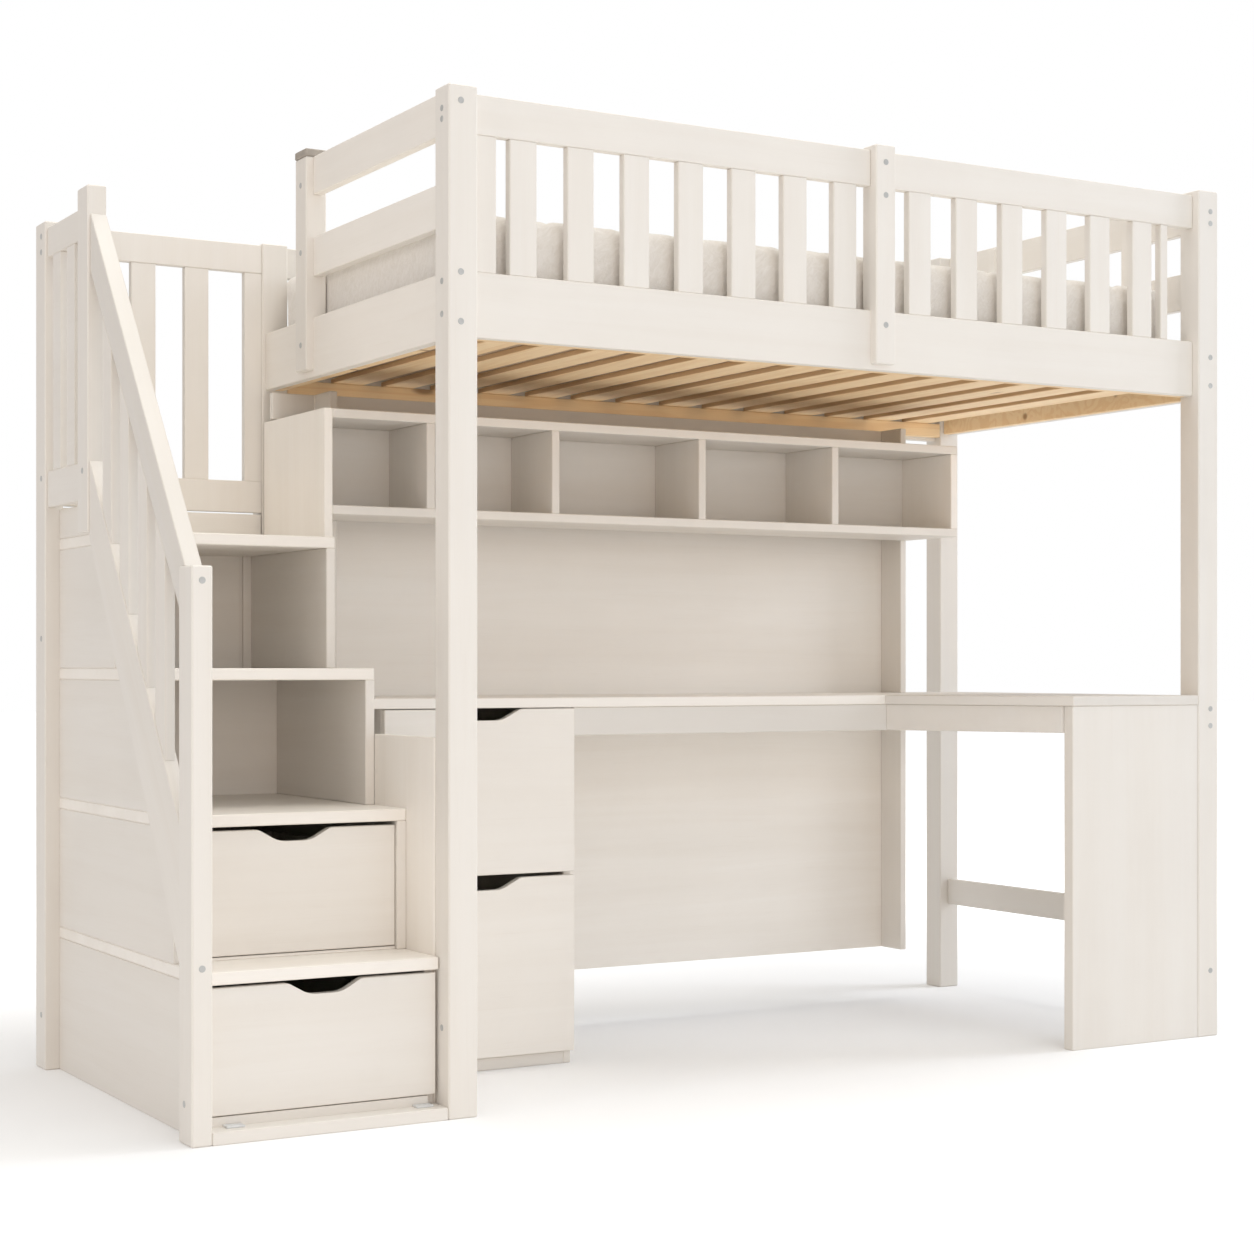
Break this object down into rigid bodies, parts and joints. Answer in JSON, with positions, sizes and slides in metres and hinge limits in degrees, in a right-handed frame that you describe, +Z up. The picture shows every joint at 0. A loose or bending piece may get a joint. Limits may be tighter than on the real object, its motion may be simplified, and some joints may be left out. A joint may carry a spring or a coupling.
{
  "type": "loft bed with desk",
  "caption": "Cream loft bed with a guarded drawer stair at its left end, and an L-shaped desk, a bookshelf and a drawer cabinet under the bed.",
  "frame": {"origin": "middle of the whole footprint (bed and stair), on the floor", "axes": "+X along the bed away from the stair, +Y from the open front to the back, +Z up"},
  "size_m": [2.5376, 1.0416, 2.007],
  "materials": {
    "painted_wood": "satin cream paint",
    "natural_pine": "bare pine",
    "mattress_fabric": "soft plush",
    "bolt_cap": "matte",
    "grey_cap": "matte",
    "glide_pad": "matte",
    "bolt_steel": "zinc plated"
  },
  "bodies": {
    "frame": {"base_glide_pads": "glide_pad", "bed_post_back_left": "painted_wood", "bed_post_back_right": "painted_wood", "bed_post_front_left": "painted_wood", "bed_post_front_right": "painted_wood", "bed_slats": "natural_pine", "bolt_caps": "bolt_cap", "cabinet_back_panel": "painted_wood", "cabinet_base": "painted_wood", "cabinet_side_panels": "painted_wood", "desk_aprons": "painted_wood", "desk_leg_panel": "painted_wood", "desk_top_main": "painted_wood", "desk_top_wing": "painted_wood", "drawer_runners": "natural_pine", "end_board_left": "painted_wood", "end_board_right": "painted_wood", "entry_post": "painted_wood", "entry_post_cap": "grey_cap", "frame_bolts": "bolt_steel", "guard_boards_left": "painted_wood", "guard_boards_right": "painted_wood", "guard_post_front_middle": "painted_wood", "guard_rail_back": "painted_wood", "guard_rail_front": "painted_wood", "guard_slats_back": "painted_wood", "guard_slats_front": "painted_wood", "handrail": "painted_wood", "handrail_balusters": "painted_wood", "landing_back_guard": "painted_wood", "landing_post": "painted_wood", "landing_side_guard": "painted_wood", "mattress": "mattress_fabric", "shelf_back_panel": "painted_wood", "shelf_bottom_board": "painted_wood", "shelf_dividers": "painted_wood", "shelf_side_panels": "painted_wood", "shelf_top_board": "painted_wood", "side_rail_back": "painted_wood", "side_rail_front": "painted_wood", "side_stretcher": "painted_wood", "slat_cleats": "natural_pine", "stair_back_panels": "painted_wood", "stair_base_board": "painted_wood", "stair_post_back": "painted_wood", "stair_post_front": "painted_wood", "stair_side_panels": "painted_wood", "stair_stringer": "painted_wood", "stair_treads": "painted_wood", "step_screen_panel": "painted_wood", "wall_panel": "painted_wood", "wall_uprights": "painted_wood"},
    "desk_drawer_lower": {"desk_drawer_lower_front": "painted_wood", "desk_drawer_lower_tray": "painted_wood"},
    "desk_drawer_upper": {"desk_drawer_upper_front": "painted_wood", "desk_drawer_upper_tray": "painted_wood"},
    "stair_drawer_lower": {"stair_drawer_lower_front": "painted_wood", "stair_drawer_lower_tray": "painted_wood"},
    "stair_drawer_upper": {"stair_drawer_upper_front": "painted_wood", "stair_drawer_upper_tray": "painted_wood"}
  },
  "joints": [
    {"name": "desk_drawer_upper_slide", "type": "slide", "parent": "frame", "child": "desk_drawer_upper", "axis": [0, -1, 0], "range_m": [0, 0.32]},
    {"name": "desk_drawer_lower_slide", "type": "slide", "parent": "frame", "child": "desk_drawer_lower", "axis": [0, -1, 0], "range_m": [0, 0.32]},
    {"name": "stair_drawer_lower_slide", "type": "slide", "parent": "frame", "child": "stair_drawer_lower", "axis": [0, -1, 0], "range_m": [0, 0.45]},
    {"name": "stair_drawer_upper_slide", "type": "slide", "parent": "frame", "child": "stair_drawer_upper", "axis": [0, -1, 0], "range_m": [0, 0.4]}
  ]
}
